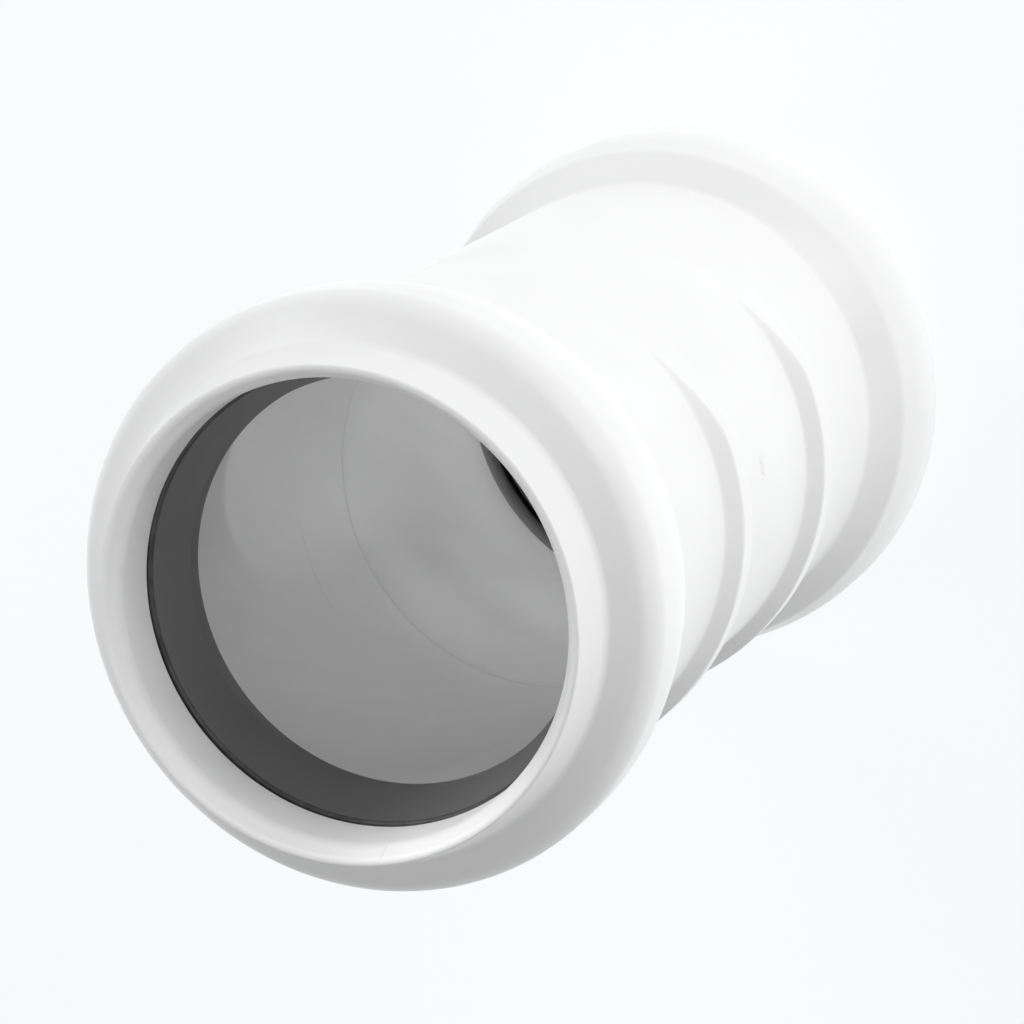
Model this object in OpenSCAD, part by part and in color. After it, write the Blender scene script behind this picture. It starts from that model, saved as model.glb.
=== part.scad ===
// Push-fit slip coupling for plastic waste pipe: a moulded sleeve with a socket at
// each end, and a rubber lip seal held in a groove inside each socket.
// It stands on its lower mouth. The origin is the centre of that rim, +Z runs along
// the bore, and the two raised ribs face +X.

/* [Pipe] */
// Outside diameter of the pipe that slides in
pipe_d = 41; // [32:0.5:56]
// Gap all round between the pipe and the bore
pipe_gap = 0.25; // [0.1:0.05:0.5]

/* [Body] */
// Length from rim to rim
coupling_l = 104.8; // [94:0.2:180]
// Wall of the barrel between the sockets
barrel_wall = 2.6; // [2:0.1:3.6]
// Wall outside the seal groove
groove_wall = 2.4; // [1.8:0.1:4]
// Steepness of the shoulder that faces the mouth
front_shoulder_angle = 55; // [45:1:70]
// Steepness of the shoulder that faces the barrel
back_shoulder_angle = 40; // [30:1:60]
// Rounding where the front shoulder meets the crown
front_crown_r = 3.5; // [0.5:0.1:4]
// Rounding where the back shoulder meets the crown
back_crown_r = 4; // [0.5:0.1:5]
// Rounding at the foot of each shoulder
shoulder_foot_r = 1.2; // [0.4:0.1:2]

/* [Mouth] */
// Length of the lip outside, from the rim to the shoulder
lip_l = 4.1; // [3:0.1:5]
// Wall of the lip at the rim
lip_rim_wall = 1.55; // [1.4:0.05:2]
// Wall of the lip at the foot of the shoulder
lip_foot_wall = 2.5; // [2:0.1:3.2]
// How far the lead-in runs into the mouth
lead_in_l = 1.6; // [0.8:0.1:2.4]
// How much the lead-in widens the bore at the rim
lead_in_step = 0.95; // [0.5:0.05:1]
// Rounding where the lead-in runs into the bore
lead_in_r = 2; // [0.5:0.1:3]
// Rounding of the rim's outer edge
rim_edge_r = 0.2; // [0.1:0.05:0.3]

/* [Seal groove] */
// Distance from the rim to the groove
groove_start = 6.8; // [6.4:0.1:9]
// Width of the groove along the bore
groove_w = 10; // [9.6:0.1:12]
// Depth of the groove below the bore
groove_depth = 4.05; // [3.6:0.05:6]
// Rounding in the bottom corners of the groove
groove_corner_r = 1.2; // [0.6:0.1:1.6]
// Body left between the groove and the foot of the back shoulder
groove_back_wall = 3.6; // [3:0.1:6]

/* [Seal] */
// Gap all round between the seal's back and its groove
seal_gap = 0.05; // [0.02:0.01:0.2]
// Thickness of the seal's back, which lies in the groove
seal_back_t = 3; // [1.2:0.1:3.1]
// Height of the sealing ridges round the outside
seal_ridge_h = 0.45; // [0.2:0.05:0.6]
// Radius of a sealing ridge's round section
seal_ridge_r = 0.8; // [0.6:0.05:1]
// Thickness of the seal's front wall
seal_front_t = 1.8; // [1.2:0.1:2.4]
// Thickness of the seal's rear wall, which comes down nearly to the bore
seal_rear_t = 2.1; // [1.2:0.1:2.3]
// Thickness of the flexible lip
seal_lip_t = 1.2; // [0.8:0.1:1.6]
// How much smaller the lip's radius is than the pipe's
seal_pinch = 1.6; // [0.6:0.1:2]
// Length of the straight land at the lip's edge
seal_land_l = 2; // [1:0.1:2.6]
// Distance from the groove's mouth side to the lip's edge
seal_lip_reach = 7.3; // [6:0.1:8.4]

/* [Ribs] */
// Distance between the middles of the two ribs
rib_spacing = 25.8; // [14:0.2:40]
// Height of a rib above the barrel
rib_h = 1.5; // [0.5:0.1:2.5]
// Width of a rib on the barrel
rib_base_w = 5.2; // [3.6:0.1:8]
// Width of a rib's top
rib_top_w = 2.4; // [1:0.1:3.4]
// Angle round the barrel from one tip of a rib to the other
rib_span = 197; // [170:1:220]
// Distance between the barrel's axis and that of the curve a rib fades along
rib_rise_offset = 3.7; // [2.8:0.1:5]

/* [Hidden] */
$fn = 96;

bore_r = pipe_d / 2 + pipe_gap;
barrel_r = bore_r + barrel_wall;
groove_r = bore_r + groove_depth;
groove_end = groove_start + groove_w;
crown_r = groove_r + groove_wall;
rim_r = bore_r + lip_rim_wall;
lip_foot_r = bore_r + lip_foot_wall;

// Where the straight shoulders would meet the crown, counted from the rim
front_crown_z = lip_l + (crown_r - lip_foot_r) / tan(front_shoulder_angle);
back_foot_z = groove_end + groove_back_wall;
back_crown_z = back_foot_z - (crown_r - barrel_r) / tan(back_shoulder_angle);

seal_r = groove_r - seal_gap;
seal_z = groove_start + seal_gap;
seal_w = groove_w - 2 * seal_gap;
seal_ridges = 3;
seal_lip_r = pipe_d / 2 - seal_pinch;
seal_lip_z = groove_start + seal_lip_reach;
// The seal's front wall stands a little proud of the bore, so the pipe meets rubber first
seal_front_r = bore_r - 0.1;
// Its rear wall stays a little behind the bore, clear of the pipe
seal_rear_r = bore_r + 0.1;
seal_edge_r = 0.4;
// The front edge is rounder, which leaves a dark line between the rubber and the bore
seal_front_edge_r = 0.85;

white = [0.95, 0.95, 0.94];
rubber = [0.14, 0.14, 0.14];

// A corner's arc is larger by this much, so that it cuts both sides and leaves no sliver
arc_slack = 0.0001;
// How far shapes that are joined run into each other, and cuts run out of the body
overlap = 0.3;

function unit(v) = v / norm(v);

// Fills the space between the corner b of the path a-b-c and an arc that touches both sides
module corner(a, b, c, r) {
    u = unit(a - b);
    v = unit(c - b);
    half = acos(u * v) / 2;
    reach = r / tan(half);
    inward = unit(u + v);
    centre = b + inward * r / sin(half);
    difference() {
        polygon([b - inward * overlap, b + u * reach, centre, b + v * reach]);
        translate(centre) circle(r + arc_slack);
    }
}

// Draws its children, and again mirrored to the other end of the coupling
module both_ends() {
    children();
    translate([0, coupling_l]) mirror([0, 1]) children();
}

// Section of the body's outside from one rim to just past the middle, radius across and
// height up
module outside_half() {
    rim = [rim_r, 0];
    lip_foot = [lip_foot_r, lip_l];
    front_crown = [crown_r, front_crown_z];
    back_crown = [crown_r, back_crown_z];
    back_foot = [barrel_r, back_foot_z];
    middle = [barrel_r, coupling_l / 2 + overlap];
    difference() {
        union() {
            polygon([
                [0, 0],
                rim,
                lip_foot,
                front_crown,
                back_crown,
                back_foot,
                middle,
                [0, middle.y]
            ]);
            corner(rim, lip_foot, front_crown, shoulder_foot_r);
            corner(back_crown, back_foot, middle, shoulder_foot_r);
        }
        corner([0, 0], rim, lip_foot, rim_edge_r);
        corner(lip_foot, front_crown, back_crown, front_crown_r);
        corner(front_crown, back_crown, back_foot, back_crown_r);
    }
}

// Half section of the seal groove, down to the bore's radius
module groove_section() {
    mouth_side = [groove_r, groove_start];
    back_side = [groove_r, groove_end];
    difference() {
        translate([0, groove_start]) square([groove_r, groove_w]);
        corner([0, groove_start], mouth_side, back_side, groove_corner_r);
        corner(mouth_side, back_side, [0, groove_end], groove_corner_r);
    }
}

// Half section of the lead-in, which guides the pipe's end into the bore
module lead_in_section() {
    flare = lead_in_step / lead_in_l;
    mouth = [bore_r + flare * (lead_in_l + overlap), -overlap];
    throat = [bore_r, lead_in_l];
    polygon([[0, mouth.y], mouth, throat, [0, throat.y]]);
    corner(mouth, throat, [bore_r, groove_start], lead_in_r);
}

// A ring with slanted flanks, cut down by an off-centre cylinder so that it swells from
// nothing at its tips to its full height
module rib(z) {
    tip = rib_span / 2;
    swell_r = sqrt(pow(rib_rise_offset, 2) + pow(barrel_r, 2)
        - 2 * rib_rise_offset * barrel_r * cos(tip));
    sunk = barrel_wall / 2;
    flank = (rib_base_w - rib_top_w) / 2;
    translate([0, 0, z]) intersection() {
        rotate_extrude() polygon([
            [barrel_r - sunk, -rib_base_w / 2],
            [barrel_r, -rib_base_w / 2],
            [barrel_r + rib_h, -rib_base_w / 2 + flank],
            [barrel_r + rib_h, rib_base_w / 2 - flank],
            [barrel_r, rib_base_w / 2],
            [barrel_r - sunk, rib_base_w / 2]
        ]);
        translate([rib_rise_offset, 0, -rib_base_w]) cylinder(r = swell_r, h = 2 * rib_base_w);
    }
}

module coupling_body() {
    color(white) difference() {
        union() {
            rotate_extrude() both_ends() outside_half();
            for (side = [-1, 1]) rib(coupling_l / 2 + side * rib_spacing / 2);
        }
        rotate_extrude() {
            translate([0, -overlap]) square([bore_r, coupling_l + 2 * overlap]);
            both_ends() {
                groove_section();
                lead_in_section();
            }
        }
    }
}

// Half section of a seal: a back with ridges, a front and a rear wall, and a lip that
// slopes in from the front wall and leaves a hollow behind it
module seal_section() {
    back_in_r = seal_r - seal_back_t;
    back_out_r = seal_r - seal_ridge_h;
    lip_front = [seal_front_r, seal_z];
    land_front = [seal_lip_r, seal_lip_z - seal_land_l];
    land_end = [seal_lip_r, seal_lip_z];
    lip_end = [seal_lip_r + seal_lip_t, seal_lip_z];
    lip_back = [seal_front_r + seal_lip_t, seal_z + seal_front_t];
    front_corner = [seal_r, seal_z];
    back_corner = [seal_r, seal_z + seal_w];
    rear_front = [seal_rear_r, seal_z + seal_w - seal_rear_t];
    rear_back = [seal_rear_r, seal_z + seal_w];
    ridge_pitch = seal_w / seal_ridges;
    difference() {
        union() {
            translate([back_in_r, seal_z]) square([back_out_r - back_in_r, seal_w]);
            translate(rear_front) square([back_out_r - seal_rear_r, seal_rear_t]);
            polygon([
                lip_front,
                [back_out_r, seal_z],
                [back_out_r, seal_z + seal_front_t],
                lip_back,
                lip_end,
                land_end,
                land_front
            ]);
            for (i = [0 : seal_ridges - 1])
                translate([seal_r - seal_ridge_r, seal_z + ridge_pitch * (i + 0.5)])
                    circle(seal_ridge_r);
        }
        corner([0, seal_z], front_corner, back_corner, groove_corner_r - seal_gap);
        corner(front_corner, back_corner, [0, seal_z + seal_w], groove_corner_r - seal_gap);
        corner([seal_r, seal_z], lip_front, land_front, seal_front_edge_r);
        corner(land_front, land_end, lip_end, seal_edge_r);
        corner(land_end, lip_end, lip_back, seal_edge_r);
        corner([seal_r, rear_front.y], rear_front, rear_back, seal_edge_r);
        corner(rear_front, rear_back, back_corner, seal_edge_r);
    }
}

module seal() {
    color(rubber) rotate_extrude() seal_section();
}

module lower_seal() {
    seal();
}

module upper_seal() {
    translate([0, 0, coupling_l]) mirror([0, 0, 1]) seal();
}

coupling_body();
lower_seal();
upper_seal();
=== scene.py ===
# Pipe slip coupling: the looks of the moulded sleeve and its two lip seals.
import math
import bmesh
import bpy
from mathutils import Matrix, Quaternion, Vector


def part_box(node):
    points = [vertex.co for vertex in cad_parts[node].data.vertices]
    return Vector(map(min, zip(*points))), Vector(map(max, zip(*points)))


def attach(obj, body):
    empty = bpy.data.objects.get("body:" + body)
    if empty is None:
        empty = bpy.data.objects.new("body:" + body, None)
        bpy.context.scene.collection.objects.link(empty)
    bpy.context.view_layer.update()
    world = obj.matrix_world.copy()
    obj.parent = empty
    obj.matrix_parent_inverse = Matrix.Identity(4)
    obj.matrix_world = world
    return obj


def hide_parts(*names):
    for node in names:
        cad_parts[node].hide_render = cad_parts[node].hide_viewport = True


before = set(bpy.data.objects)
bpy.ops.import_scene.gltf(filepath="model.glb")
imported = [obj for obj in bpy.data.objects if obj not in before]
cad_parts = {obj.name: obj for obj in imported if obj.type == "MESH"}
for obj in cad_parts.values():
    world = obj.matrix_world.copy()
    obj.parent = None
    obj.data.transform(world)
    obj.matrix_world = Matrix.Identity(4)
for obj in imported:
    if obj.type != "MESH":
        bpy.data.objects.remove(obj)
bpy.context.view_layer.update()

mm = 0.001
scene = bpy.context.scene
bodyLow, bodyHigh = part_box("coupling_body")
couplingLength = (bodyHigh.z - bodyLow.z) / mm
crownRadius = bodyHigh.x / mm
print("frame loaded, coupling", round(couplingLength, 2), "mm long")

# mesh helpers, all lengths in mm
mergeGap = 0.001
flatFaceWeight = 60


def roundedLoop(bm, corners):
    # corners are (radius, height, rounding, segments); a rounding of 0 keeps the corner sharp
    verts = [bm.verts.new((r * mm, 0, z * mm)) for r, z, _, _ in corners]
    for pair in zip(verts, verts[1:] + verts[:1]):
        bm.edges.new(pair)
    places = [v.co.copy() for v in verts]
    for i, (_, _, rounding, segments) in enumerate(corners):
        if rounding:
            before = (places[i - 1] - places[i]).normalized()
            after = (places[(i + 1) % len(places)] - places[i]).normalized()
            reach = rounding * mm / math.tan(before.angle(after) / 2)
            bmesh.ops.bevel(bm, geom=[verts[i]], offset=reach, offset_type="OFFSET",
                            affect="VERTICES", segments=segments, profile=0.5, material=-1)


def splitLongEdges(bm, longest):
    for edge in list(bm.edges):
        cuts = int(edge.calc_length() / (longest * mm))
        if cuts:
            bmesh.ops.subdivide_edges(bm, edges=[edge], cuts=cuts)


def spinRing(bm, steps):
    bmesh.ops.spin(bm, geom=bm.verts[:] + bm.edges[:], cent=(0, 0, 0), axis=(0, 0, 1),
                   dvec=(0, 0, 0), angle=math.tau, steps=steps, use_merge=True,
                   use_normal_flip=False, use_duplicate=False)
    bmesh.ops.remove_doubles(bm, verts=bm.verts[:], dist=mergeGap * mm)
    bmesh.ops.recalc_face_normals(bm, faces=bm.faces[:])
    for face in bm.faces:
        face.smooth = True


def finishPiece(bm, name, material):
    mesh = bpy.data.meshes.new(name)
    bm.to_mesh(mesh)
    bm.free()
    piece = bpy.data.objects.new(name, mesh)
    scene.collection.objects.link(piece)
    mesh.materials.append(material)
    shading = piece.modifiers.new("evenShading", "WEIGHTED_NORMAL")
    shading.weight = flatFaceWeight
    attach(piece, "root")
    print(name, "has", len(mesh.polygons), "faces")
    return piece


# shader helpers; a value is a socket to link, a colour of three numbers or a plain number
def feed(tree, target, value):
    if isinstance(value, bpy.types.NodeSocket):
        tree.links.new(value, target)
    elif isinstance(value, tuple):
        target.default_value = (*value, 1)
    else:
        target.default_value = value


def calc(tree, operation, *values):
    made = tree.nodes.new("ShaderNodeMath")
    made.operation = operation
    for i, value in enumerate(values):
        feed(tree, made.inputs[i], value)
    return made.outputs["Value"]


def ramp(tree, value, low, high, atLow, atHigh):
    made = tree.nodes.new("ShaderNodeMapRange")
    made.interpolation_type = "SMOOTHSTEP"
    limits = {"Value": value, "From Min": low, "From Max": high, "To Min": atLow, "To Max": atHigh}
    for name, limit in limits.items():
        feed(tree, made.inputs[name], limit)
    return made.outputs["Result"]


def spread(tree, value, low, high):
    # maps a noise value, which stays near the middle, onto a range
    return ramp(tree, value, 0.3, 0.7, low, high)


def blendColours(tree, factor, first, second):
    made = tree.nodes.new("ShaderNodeMix")
    made.data_type = "RGBA"
    for name, value in (("A", first), ("B", second), ("Factor", factor)):
        feed(tree, made.inputs[name], value)
    return made.outputs["Result"]


def noise(tree, vector, scale, detail, roughness=0.5):
    made = tree.nodes.new("ShaderNodeTexNoise")
    for name, value in (("Vector", vector), ("Scale", scale), ("Detail", detail), ("Roughness", roughness)):
        feed(tree, made.inputs[name], value)
    return made.outputs["Fac"]


def combine(tree, x, y, z):
    made = tree.nodes.new("ShaderNodeCombineXYZ")
    for name, value in (("X", x), ("Y", y), ("Z", z)):
        feed(tree, made.inputs[name], value)
    return made.outputs["Vector"]


def millimetres(tree, coordinates):
    # x, y, z and the distance from the bore's axis
    parts = tree.nodes.new("ShaderNodeSeparateXYZ")
    feed(tree, parts.inputs["Vector"], coordinates)
    x, y, z = [calc(tree, "DIVIDE", parts.outputs[name], mm) for name in ("X", "Y", "Z")]
    squares = calc(tree, "ADD", calc(tree, "MULTIPLY", x, x), calc(tree, "MULTIPLY", y, y))
    return x, y, z, calc(tree, "SQRT", squares)


def turned(tree, x, y, cosine, sine):
    # a point turned round the bore's axis
    turnedX = calc(tree, "SUBTRACT", calc(tree, "MULTIPLY", x, cosine), calc(tree, "MULTIPLY", y, sine))
    turnedY = calc(tree, "ADD", calc(tree, "MULTIPLY", x, sine), calc(tree, "MULTIPLY", y, cosine))
    return turnedX, turnedY


def facing(tree, x, y, azimuth):
    # how far out a point lies in an azimuth's direction, and how far to the side
    a = math.radians(-azimuth)
    return turned(tree, x, y, math.cos(a), math.sin(a))


def distance(tree, value, middle):
    return calc(tree, "ABSOLUTE", calc(tree, "SUBTRACT", value, middle))


def startGroup(name, inputs, outputs):
    # a node group that takes Object coordinates; its entry and exit nodes come with it
    group = bpy.data.node_groups.new(name, "ShaderNodeTree")
    group.interface.new_socket(name="Coordinates", in_out="INPUT", socket_type="NodeSocketVector")
    for title in inputs:
        group.interface.new_socket(name=title, in_out="INPUT", socket_type="NodeSocketFloat")
    for title in outputs:
        group.interface.new_socket(name=title, in_out="OUTPUT", socket_type="NodeSocketFloat")
    return group, group.nodes.new("NodeGroupInput"), group.nodes.new("NodeGroupOutput")


# the broad clouding and the fine skin of a moulded surface
grainNoise = {
    "cloudDetail": 3,
    "cloudRoughness": 0.55,
    "grainDetail": 1,
    "grainRoughness": 0.6,
}


def mouldGrainGroup():
    look = grainNoise
    group, entry, leave = startGroup("mouldGrain", ["Cloud Scale", "Grain Scale"], ["Cloud", "Grain"])
    where = entry.outputs["Coordinates"]
    cloud = noise(group, where, entry.outputs["Cloud Scale"], look["cloudDetail"], look["cloudRoughness"])
    grain = noise(group, where, entry.outputs["Grain Scale"], look["grainDetail"], look["grainRoughness"])
    feed(group, leave.inputs["Cloud"], cloud)
    feed(group, leave.inputs["Grain"], grain)
    return group


mouldGrain = mouldGrainGroup()

# marks of the moulding, in mm and degrees round the axis
boreMarks = {
    "limitR": 21.2,
    "limitFade": 0.3,
    "streakWidth": 3.4,
    "streakLength": 26,
    "streakLean": 0.47,
    "streakDetail": 2,
    "lineWidth": 0.16,
    "arcAzimuth": -110,
    "arcSolid": 8.4,
    "arcHalf": 21,
    "arcZ": 63.8,
}

# the hairline where the melt met, up the inside of the upper mouth's lip
knitLine = {
    "azimuth": -29.5,
    "z": 102.7,
    "lean": -0.2,
    "half": 0.07,
    "solidReach": 1.68,
    "reach": 2.1,
    "innerR": 20,
    "outerR": 21.9,
    "fade": 0.1,
}

# the trimmed gate on the barrel, a small ragged spot
gateSpot = {
    "azimuth": 57.9,
    "z": 55.5,
    "wide": 1.7,
    "high": 0.8,
    "solid": 0.1,
    "fromR": 22.75,
    "toR": 23.05,
    "shade": 0.5,
    "raggedScale": 1.6,
}


def streaks(tree, x, y, z):
    # the streaks lean across the bore, and the noise runs round it without a seam
    m = boreMarks
    lean = calc(tree, "MULTIPLY", z, m["streakLean"] / m["limitR"])
    turnedX, turnedY = turned(tree, x, y, calc(tree, "COSINE", lean), calc(tree, "SINE", lean))
    stretched = combine(tree, calc(tree, "DIVIDE", turnedX, m["streakWidth"]),
                        calc(tree, "DIVIDE", turnedY, m["streakWidth"]),
                        calc(tree, "DIVIDE", z, m["streakLength"]))
    return spread(tree, noise(tree, stretched, 1.0, m["streakDetail"]), 0, 1)


def boreLines(tree, x, y, z):
    # the line where the two cores met, and a faint second one part of the way round
    m = boreMarks
    middle = ramp(tree, distance(tree, z, couplingLength / 2), 0, m["lineWidth"], 1, 0)
    angle = calc(tree, "DEGREES", calc(tree, "ARCTAN2", y, x))
    within = ramp(tree, distance(tree, angle, m["arcAzimuth"]), m["arcSolid"], m["arcHalf"], 1, 0)
    arc = calc(tree, "MULTIPLY", ramp(tree, distance(tree, z, m["arcZ"]), 0, m["lineWidth"], 1, 0), within)
    return calc(tree, "MAXIMUM", middle, arc)


def knitHeight(tree, x, y, z):
    k = knitLine
    outward, aside = facing(tree, x, y, k["azimuth"])
    rise = calc(tree, "SUBTRACT", z, k["z"])
    offset = distance(tree, aside, calc(tree, "MULTIPLY", rise, k["lean"]))
    height = ramp(tree, offset, 0, k["half"], 1, 0)
    ends = (
        ramp(tree, calc(tree, "ABSOLUTE", rise), k["solidReach"], k["reach"], 1, 0),
        ramp(tree, outward, k["innerR"], k["innerR"] + k["fade"], 0, 1),
        ramp(tree, outward, k["outerR"] - k["fade"], k["outerR"], 1, 0),
    )
    for end in ends:
        height = calc(tree, "MULTIPLY", height, end)
    return height


def gateHeight(tree, x, y, z):
    g = gateSpot
    outward, aside = facing(tree, x, y, g["azimuth"])
    across = calc(tree, "DIVIDE", aside, g["wide"])
    up = calc(tree, "DIVIDE", calc(tree, "SUBTRACT", z, g["z"]), g["high"])
    apart = calc(tree, "ADD", calc(tree, "MULTIPLY", across, across), calc(tree, "MULTIPLY", up, up))
    spot = calc(tree, "MULTIPLY", ramp(tree, apart, g["solid"], 1, 1, 0),
                ramp(tree, outward, g["fromR"], g["toR"], 0, 1))
    ragged = noise(tree, combine(tree, x, y, z), g["raggedScale"], 0)
    return calc(tree, "MULTIPLY", spot, spread(tree, ragged, -1, 1))


def mouldMarksGroup():
    # flow streaks and lines inside the bore, and heights for the gate mark and the hairline
    m = boreMarks
    group, entry, leave = startGroup("mouldMarks", [], ["Streak", "Line", "Height"])
    x, y, z, radius = millimetres(group, entry.outputs["Coordinates"])
    inBore = ramp(group, radius, m["limitR"] - m["limitFade"], m["limitR"], 1, 0)
    feed(group, leave.inputs["Streak"], calc(group, "MULTIPLY", streaks(group, x, y, z), inBore))
    lines = calc(group, "MULTIPLY", boreLines(group, x, y, z), inBore)
    gate = gateHeight(group, x, y, z)
    shade = calc(group, "MULTIPLY", calc(group, "ABSOLUTE", gate), gateSpot["shade"])
    feed(group, leave.inputs["Line"], calc(group, "MAXIMUM", lines, shade))
    feed(group, leave.inputs["Height"], calc(group, "ADD", gate, knitHeight(group, x, y, z)))
    return group


mouldMarks = mouldMarksGroup()

# painted shade along the front of a seal and painted light on the wall at its rear, counted in mm from the
# nearer rim
sealPaintedLightAndShade = {
    # painted shadow of the gap by the groove, as a dark band near the seal's front
    "gapShadeFrom": 7.6,
    "gapShadeTo": 7.75,
    "gapShadeFaintest": 0.7,
    "breakScale": 420.0,
    "breakDetail": 2,
    # painted light: the rear wall behind the lip is coloured paler
    "paintedLightFrom": 13.2,
    "rearR": 20.6,
}


def sealPaintedLightAndShadeGroup():
    # painted shade as a dark line round the front edge, standing for the shadowed gap by the groove, broken
    # up a little; and painted light that makes the rear wall paler
    m = sealPaintedLightAndShade
    group, entry, leave = startGroup("sealPaintedLightAndShade", [], ["Line", "RearPaintedLight"])
    x, y, z, radius = millimetres(group, entry.outputs["Coordinates"])
    half = couplingLength / 2
    fromRim = calc(group, "SUBTRACT", half, distance(group, z, half))
    # painted shade: a dark band just behind the seal's front, for the gap's shadow
    line = ramp(group, fromRim, m["gapShadeFrom"], m["gapShadeTo"], 1, 0)
    broken = noise(group, entry.outputs["Coordinates"], m["breakScale"], m["breakDetail"])
    feed(group, leave.inputs["Line"],
         calc(group, "MULTIPLY", line, spread(group, broken, m["gapShadeFaintest"], 1)))
    # painted light: the rear wall, behind the lip and outside it, is coloured paler to stand for light
    # reaching it
    behindLip = calc(group, "GREATER_THAN", fromRim, m["paintedLightFrom"])
    outsideLip = calc(group, "GREATER_THAN", radius, m["rearR"])
    feed(group, leave.inputs["RearPaintedLight"], calc(group, "MULTIPLY", behindLip, outsideLip))
    return group


sealPaintedLightAndShadeNodes = sealPaintedLightAndShadeGroup()


def startMaterial(name):
    # the material, its tree, its shader's inputs and the object's own coordinates
    material = bpy.data.materials.new(name)
    material.use_nodes = True
    tree = material.node_tree
    where = tree.nodes.new("ShaderNodeTexCoord")
    return material, tree, tree.nodes["Principled BSDF"].inputs, where.outputs["Object"]


def useGroup(tree, group, where):
    made = tree.nodes.new("ShaderNodeGroup")
    made.node_tree = group
    feed(tree, made.inputs["Coordinates"], where)
    return made


def useGrain(tree, look, where):
    made = useGroup(tree, mouldGrain, where)
    made.inputs["Cloud Scale"].default_value = look["cloudScale"]
    made.inputs["Grain Scale"].default_value = look["grainScale"]
    return made.outputs["Cloud"], made.outputs["Grain"]


def bump(tree, height, strength, depth):
    made = tree.nodes.new("ShaderNodeBump")
    made.inputs["Strength"].default_value = strength
    made.inputs["Distance"].default_value = depth * mm
    feed(tree, made.inputs["Height"], height)
    return made


plasticLook = {
    "pale": (0.95, 0.95, 0.95),
    "deep": (0.93, 0.93, 0.93),
    "streak": (0.88, 0.88, 0.88),
    "streakShare": 0.5,
    "line": (0.62, 0.62, 0.62),
    "lineShare": 0.4,
    "smooth": 0.38,
    "rough": 0.52,
    "ior": 1.49,
    "cloudScale": 55.0,
    "grainScale": 1300.0,
    "grainBump": 0.08,
    "markBump": 0.6,
    "bumpDepth": 0.1,
}


def whitePlasticMaterial():
    look = plasticLook
    material, tree, shader, where = startMaterial("whitePlastic")
    cloud, grain = useGrain(tree, look, where)
    mark = useGroup(tree, mouldMarks, where).outputs
    colour = blendColours(tree, spread(tree, cloud, 0, 1), look["pale"], look["deep"])
    streak = calc(tree, "MULTIPLY", mark["Streak"], look["streakShare"])
    colour = blendColours(tree, streak, colour, look["streak"])
    line = calc(tree, "MULTIPLY", mark["Line"], look["lineShare"])
    feed(tree, shader["Base Color"], blendColours(tree, line, colour, look["line"]))
    feed(tree, shader["Roughness"], spread(tree, cloud, look["smooth"], look["rough"]))
    shader["IOR"].default_value = look["ior"]
    skin = bump(tree, grain, look["grainBump"], look["bumpDepth"])
    marked = bump(tree, mark["Height"], look["markBump"], look["bumpDepth"])
    feed(tree, marked.inputs["Normal"], skin.outputs["Normal"])
    feed(tree, shader["Normal"], marked.outputs["Normal"])
    return material


rubberLook = {
    "dark": (0.1, 0.1, 0.1),
    "worn": (0.125, 0.125, 0.125),
    # painted shadow colour for the gap at the seal's front
    "line": (0.015, 0.015, 0.015),
    # painted light: a pale grey for the seal's rear wall
    "rear": (0.34, 0.34, 0.34),
    "smooth": 0.5,
    "rough": 0.7,
    "cloudScale": 90.0,
    "grainScale": 4000.0,
    "grainBump": 0.15,
    "bumpDepth": 0.1,
}


def sealRubberMaterial():
    look = rubberLook
    material, tree, shader, where = startMaterial("sealRubber")
    cloud, grain = useGrain(tree, look, where)
    mark = useGroup(tree, sealPaintedLightAndShadeNodes, where).outputs
    colour = blendColours(tree, cloud, look["dark"], look["worn"])
    # painted shade round the seal's front edge
    colour = blendColours(tree, mark["Line"], colour, look["line"])
    # painted light that makes the seal's rear wall paler
    feed(tree, shader["Base Color"], blendColours(tree, mark["RearPaintedLight"], colour, look["rear"]))
    feed(tree, shader["Roughness"], spread(tree, cloud, look["smooth"], look["rough"]))
    skin = bump(tree, grain, look["grainBump"], look["bumpDepth"])
    feed(tree, shader["Normal"], skin.outputs["Normal"])
    return material


whitePlastic = whitePlasticMaterial()
sealRubber = sealRubberMaterial()
print("materials ready")

# the sleeve, in mm; heights are counted from the nearer rim
sleeve = {
    "boreR": 20.75,
    "barrelR": 23.35,
    "rimR": 22.3,
    "rimEdge": 0.2,
    "rimInnerEdge": 0.6,
    "lipLength": 4.1,
    "lipFootR": 23.25,
    "frontAngle": 55,
    "backAngle": 40,
    "footRounding": 1.2,
    "frontCrownRounding": 3.5,
    "crownEndZ": 12.8,
    "backCrownRounding": 14,
    "backEdgeR": 26.15,
    "backEdgeRounding": 1.6,
    "backFootZ": 20.4,
    "leadIn": 1.6,
    "leadInStep": 0.95,
    "leadInRounding": 2,
    "grooveStart": 6.8,
    "grooveEnd": 16.8,
    "grooveR": 24.8,
    "grooveRounding": 1.2,
    "grooveEdge": 0.06,
    "witnessHalf": 0.14,
    "witnessDepth": 0.06,
    "radiusSlack": 0.01,
    "longestRow": 1.5,
    "steps": 240,
}

ribs = {
    "spacing": 25.8,
    "height": 1.5,
    "footHalf": 2.6,
    "topHalf": 1.2,
    "span": 189,
    "offset": 3.7,
    "softness": 0.16,
    "rowGap": 0.13,
    "margin": 0.5,
}


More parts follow.
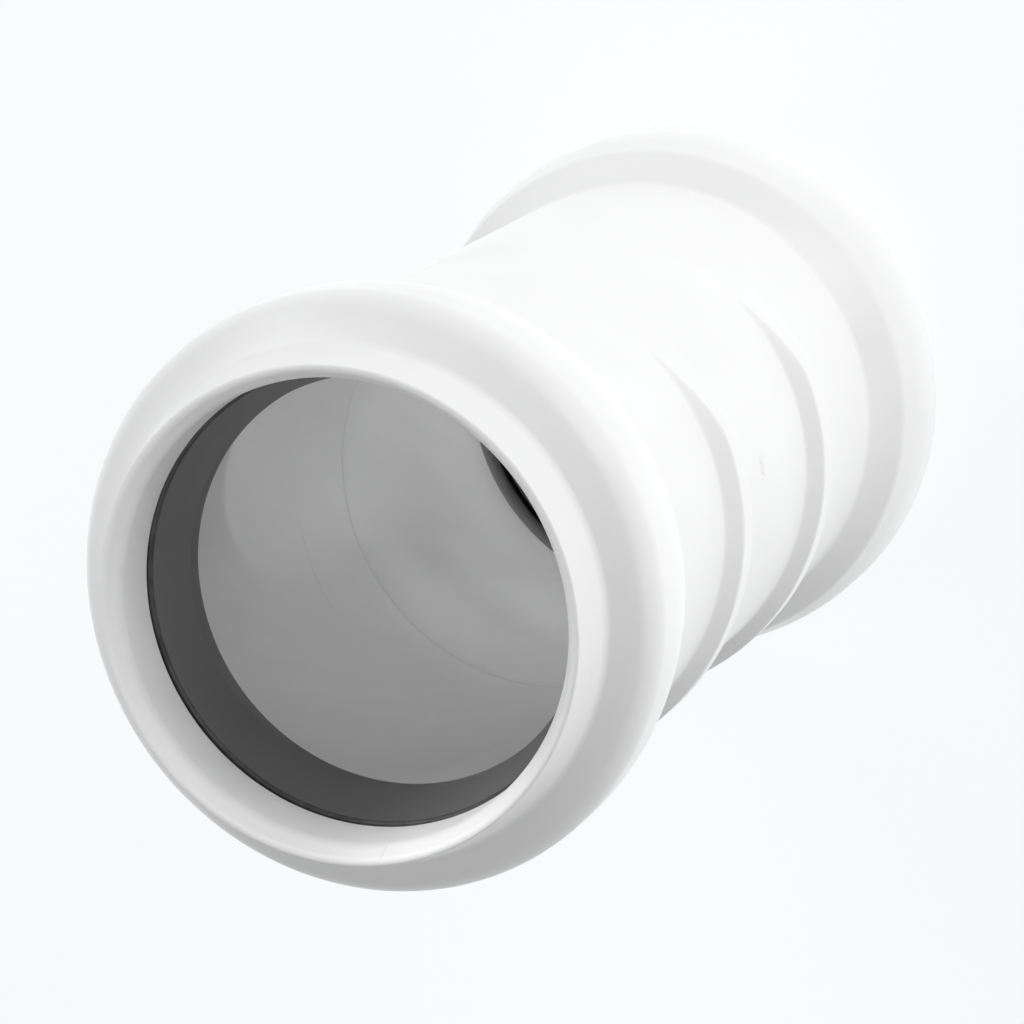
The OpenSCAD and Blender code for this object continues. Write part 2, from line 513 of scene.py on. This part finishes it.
def sleeveHalf():
    # corners from the groove's far side out round the mouth to the foot of the bulge
    s = sleeve
    frontCrownZ = s["lipLength"] + (crownRadius - s["lipFootR"]) / math.tan(math.radians(s["frontAngle"]))
    backEdgeZ = s["backFootZ"] - (s["backEdgeR"] - s["barrelR"]) / math.tan(math.radians(s["backAngle"]))
    inside = [
        (s["boreR"], s["grooveEnd"], s["grooveEdge"], 2),
        (s["grooveR"], s["grooveEnd"], s["grooveRounding"], 5),
        (s["grooveR"], s["grooveStart"], s["grooveRounding"], 5),
        (s["boreR"], s["grooveStart"], s["grooveEdge"], 2),
        (s["boreR"], s["leadIn"], s["leadInRounding"], 5),
        (s["boreR"] + s["leadInStep"], 0, s["rimInnerEdge"], 6),
    ]
    outside = [
        (s["rimR"], 0, s["rimEdge"], 3),
        (s["lipFootR"], s["lipLength"], s["footRounding"], 6),
        (crownRadius, frontCrownZ, s["frontCrownRounding"], 9),
        (crownRadius, s["crownEndZ"], s["backCrownRounding"], 9),
        (s["backEdgeR"], backEdgeZ, s["backEdgeRounding"], 5),
        (s["barrelR"], s["backFootZ"], s["footRounding"], 6),
    ]
    return inside + outside


def smoothMin(a, b, k):
    h = max(k - abs(a - b), 0) / k
    return min(a, b) - h * h * k / 4


def smoothMax(a, b, k):
    return -smoothMin(-a, -b, k)


def swellRadius(size, barrelR):
    # the off-centre circle that crosses the barrel at both tips
    tip = math.radians(size["span"] / 2)
    d = size["offset"]
    return math.sqrt(d * d + barrelR * barrelR - 2 * d * barrelR * math.cos(tip))


def ribHeight(size, barrelR, swellR, angle, dz):
    # slanted flanks, held down by an off-centre circle that brings each tip to nothing
    d = size["offset"]
    swell = d * math.cos(angle) + math.sqrt(swellR ** 2 - (d * math.sin(angle)) ** 2) - barrelR
    slope = size["height"] / (size["footHalf"] - size["topHalf"])
    flank = (size["footHalf"] - abs(dz)) * slope
    top = smoothMin(swell, size["height"], size["softness"])
    return smoothMax(smoothMin(flank, top, size["softness"]), 0, size["softness"])


def makeSleeve():
    s = sleeve
    middle = couplingLength / 2
    half = sleeveHalf()
    other = [(r, couplingLength - z, rounding, n) for r, z, rounding, n in reversed(half)]
    # close rows across each rib, which the rib's height then moves outwards
    ribReach = ribs["footHalf"] + ribs["margin"]
    rows = math.ceil(2 * ribReach / ribs["rowGap"])
    ribRows = []
    for centre in (middle - ribs["spacing"] / 2, middle + ribs["spacing"] / 2):
        ribRows += [(s["barrelR"], centre - ribReach + 2 * ribReach * i / rows, 0, 0)
                    for i in range(rows + 1)]
    # the two mould cores met halfway along the bore and left a fine line there
    witness = [
        (s["boreR"], middle + s["witnessHalf"], 0, 0),
        (s["boreR"] + s["witnessDepth"], middle, 0, 0),
        (s["boreR"], middle - s["witnessHalf"], 0, 0),
    ]
    bm = bmesh.new()
    roundedLoop(bm, half + ribRows + other + witness)
    splitLongEdges(bm, s["longestRow"])
    spinRing(bm, s["steps"])
    swellR = swellRadius(ribs, s["barrelR"])
    for vert in bm.verts:
        r = math.hypot(vert.co.x, vert.co.y)
        dz = abs(abs(vert.co.z / mm - middle) - ribs["spacing"] / 2)
        if dz <= ribReach and r > (s["barrelR"] - s["radiusSlack"]) * mm:
            angle = math.atan2(vert.co.y, vert.co.x)
            grown = 1 + ribHeight(ribs, s["barrelR"], swellR, angle, dz) * mm / r
            vert.co.x *= grown
            vert.co.y *= grown
    return finishPiece(bm, "couplingSleeve", whitePlastic)


sleevePiece = makeSleeve()
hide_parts("coupling_body")

# a seal ring, in mm from the rim
sealRing = {
    "front": 7.35,
    "width": 9.4,
    "outerR": 24.75,
    "backThickness": 3,
    "ridges": 3,
    "ridgeHeight": 0.45,
    "ridgeRounding": 0.3,
    "frontThickness": 1.8,
    "frontR": 20.65,
    "frontEdge": 0.4,
    "lipR": 18.9,
    "lipThickness": 1.2,
    "lipZ": 14.1,
    "lipEdge": 0.4,
    "landLength": 2,
    "rearThickness": 3.4,
    "rearR": 20.85,
    "rearEdge": 0.2,
    "hollowRearEdge": 0.2,
    "hollowFrontEdge": 0.1,
    "corner": 1.15,
    "longestRow": 0.8,
    "steps": 240,
}


def sealCorners():
    s = sealRing
    end = s["front"] + s["width"]
    backR = s["outerR"] - s["backThickness"]
    sunkR = s["outerR"] - s["ridgeHeight"]
    ridge = s["width"] / s["ridges"]
    # between two ridges the back sinks to a valley, half a ridge wide
    valleys = []
    for i in range(1, s["ridges"]):
        valleys += [
            (s["outerR"], s["front"] + ridge * (i - 0.25), s["ridgeRounding"], 3),
            (sunkR, s["front"] + ridge * i, s["ridgeRounding"], 3),
            (s["outerR"], s["front"] + ridge * (i + 0.25), s["ridgeRounding"], 3),
        ]
    # the hollow behind the lip ends where the lip's back meets the ring's back
    lipRootR = s["frontR"] + s["lipThickness"]
    lipRootZ = s["front"] + s["frontThickness"]
    lipBackR = s["lipR"] + s["lipThickness"]
    hollowZ = lipRootZ + (lipRootR - backR) * (s["lipZ"] - lipRootZ) / (lipRootR - lipBackR)
    front = [
        (s["frontR"], s["front"], s["frontEdge"], 5),
        (s["outerR"], s["front"], s["corner"], 5),
    ]
    rear = [
        (s["outerR"], end, s["corner"], 5),
        (s["rearR"], end, s["rearEdge"], 3),
        (s["rearR"], end - s["rearThickness"], s["rearEdge"], 3),
        (backR, end - s["rearThickness"], s["hollowRearEdge"], 2),
    ]
    lip = [
        (backR, hollowZ, s["hollowFrontEdge"], 3),
        (lipBackR, s["lipZ"], s["lipEdge"], 4),
        (s["lipR"], s["lipZ"], s["lipEdge"], 4),
        (s["lipR"], s["lipZ"] - s["landLength"], s["lipEdge"], 4),
    ]
    return front + valleys + rear + lip


def makeSeal(name, upper):
    corners = sealCorners()
    if upper:
        corners = [(r, couplingLength - z, rounding, n) for r, z, rounding, n in corners]
    bm = bmesh.new()
    roundedLoop(bm, corners)
    splitLongEdges(bm, sealRing["longestRow"])
    spinRing(bm, sealRing["steps"])
    return finishPiece(bm, name, sealRubber)


for name, node, upper in (("lowerSealRing", "lower_seal", False), ("upperSealRing", "upper_seal", True)):
    ring = makeSeal(name, upper)
    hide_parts(node)
print("seals ready")


def seenDirectly(tree):
    # 1 for what the camera sees itself, in a gloss or through glass, and 0 for light on the object
    rays = tree.nodes.new("ShaderNodeLightPath").outputs
    seen = calc(tree, "MAXIMUM", rays["Is Camera Ray"], rays["Is Glossy Ray"])
    return calc(tree, "MAXIMUM", seen, rays["Is Transmission Ray"])


# a pale floor that keeps the shadow and shows almost white to the camera; half its width is in metres
floorLook = {
    "half": 3.0,
    "colour": (0.8, 0.8, 0.8),
    "roughness": 0.9,
    "seenColour": (0.15, 0.15, 0.15),
    "noGlow": (0.0, 0.0, 0.0),
    "seenGlow": (0.857, 0.873, 0.881),
}


def makeFloor():
    look = floorLook
    bm = bmesh.new()
    bmesh.ops.create_grid(bm, x_segments=1, y_segments=1, size=look["half"])
    mesh = bpy.data.meshes.new("floor")
    bm.to_mesh(mesh)
    bm.free()
    floor = bpy.data.objects.new("floor", mesh)
    scene.collection.objects.link(floor)
    material = bpy.data.materials.new("paleFloor")
    material.use_nodes = True
    tree = material.node_tree
    shader = tree.nodes["Principled BSDF"].inputs
    shader["Roughness"].default_value = look["roughness"]
    shader["Specular IOR Level"].default_value = 0.0
    shader["Emission Strength"].default_value = 1.0
    seen = seenDirectly(tree)
    feed(tree, shader["Base Color"], blendColours(tree, seen, look["colour"], look["seenColour"]))
    feed(tree, shader["Emission Color"], blendColours(tree, seen, look["noGlow"], look["seenGlow"]))
    # the glow lights nothing, so no ray looks for it
    material.cycles.emission_sampling = "NONE"
    mesh.materials.append(material)


makeFloor()

# soft lamps, mostly from the sides, over a light table that lights the lower sides and the bore
studio = {
    "world": 0.15,
    "backdrop": (0.98, 0.985, 0.99),
    # lengths are in metres, apart from a spot's aim and reach, which are in mm
    "distance": 0.9,
    "width": 0.5,
    "lamps": [
        # name, azimuth, elevation, power
        ("keyLamp", 90, 9, 3.2),
        ("leftLamp", 180, 25, 2.5),
        ("backLamp", 240, 55, 1.8),
        ("ribLamp", 45, 8, 1.5),
        ("frontLamp", 60, 55, 0.4),
    ],
    "tableWidth": 1.2,
    "tableLift": 0.001,
    "tablePower": 1.28,
    # narrow lamps that look into the upper mouth
    "mouthSpots": [
        # name, azimuth, elevation, power, aim, reach, blend
        ("axisSpot", 0, 90, 1.05, (0, 0, couplingLength), 20.5, 0.25),
        ("slantSpot", 355, 78, 2.45, (0, 0, couplingLength), 20.5, 0.25),
        ("leadInSpot", 168, 26, 1.4, (20.8, -4.4, 102.5), 13.5, 1),
    ],
    "spotDistance": 0.35,
    "spotRadius": 0.004,
}


def direction(azimuth, elevation):
    a, e = math.radians(azimuth), math.radians(elevation)
    return Vector((math.cos(a) * math.cos(e), math.sin(a) * math.cos(e), math.sin(e)))


def addLamp(lamp, power, place, backwards):
    lamp.energy = power
    holder = bpy.data.objects.new(lamp.name, lamp)
    holder.location = place
    holder.rotation_mode = "QUATERNION"
    holder.rotation_quaternion = backwards.to_track_quat("Z", "Y")
    holder.visible_camera = False
    scene.collection.objects.link(holder)


def addDisk(name, width, power, place, backwards):
    lamp = bpy.data.lights.new(name, "AREA")
    lamp.shape = "DISK"
    lamp.size = width
    addLamp(lamp, power, place, backwards)


def makeWorld():
    # the world lights the object at its plain level, and the camera sees it pale
    world = bpy.data.worlds.new("studioWorld")
    world.use_nodes = True
    tree = world.node_tree
    background = tree.nodes["Background"].inputs
    feed(tree, background["Color"], studio["backdrop"])
    level = tree.nodes.new("ShaderNodeMapRange")
    for name, value in (("Value", seenDirectly(tree)), ("To Min", studio["world"]), ("To Max", 1.0)):
        feed(tree, level.inputs[name], value)
    feed(tree, background["Strength"], level.outputs["Result"])
    scene.world = world


def makeLights():
    middle = Vector((0, 0, couplingLength / 2 * mm))
    for name, azimuth, elevation, power in studio["lamps"]:
        away = direction(azimuth, elevation)
        addDisk(name, studio["width"], power, middle + away * studio["distance"], away)
    addDisk("tableLamp", studio["tableWidth"], studio["tablePower"],
            Vector((0, 0, studio["tableLift"])), Vector((0, 0, -1)))
    for name, azimuth, elevation, power, aim, reach, blend in studio["mouthSpots"]:
        spot = bpy.data.lights.new(name, "SPOT")
        spot.shadow_soft_size = studio["spotRadius"]
        spot.spot_size = 2 * math.atan(reach * mm / studio["spotDistance"])
        spot.spot_blend = blend
        away = direction(azimuth, elevation)
        addLamp(spot, power, Vector(aim) * mm + away * studio["spotDistance"], away)


makeWorld()
makeLights()

# the camera looks down into the upper mouth, turned so that the coupling lies across the frame
cameraPose = {
    "azimuth": 85,
    "elevation": 65.239,
    "roll": -123.99,
    "distance": 440.87,
    "aim": (0.63, -3.83, 54.14),
    "lens": 161.09,
    "sensor": 36,
    "nearest": 10,
    "farthest": 20000,
}


def makeCamera():
    c = cameraPose
    camera = bpy.data.cameras.new("camera")
    camera.lens = c["lens"]
    camera.sensor_width = c["sensor"]
    camera.sensor_fit = "HORIZONTAL"
    camera.clip_start = c["nearest"] * mm
    camera.clip_end = c["farthest"] * mm
    away = direction(c["azimuth"], c["elevation"])
    level = (-away).to_track_quat("-Z", "Y")
    holder = bpy.data.objects.new("camera", camera)
    holder.location = (Vector(c["aim"]) + away * c["distance"]) * mm
    holder.rotation_mode = "QUATERNION"
    holder.rotation_quaternion = level @ Quaternion((0, 0, 1), math.radians(c["roll"]))
    scene.collection.objects.link(holder)
    scene.camera = holder


makeCamera()
scene.view_settings.view_transform = "Standard"
print("camera and lights ready")
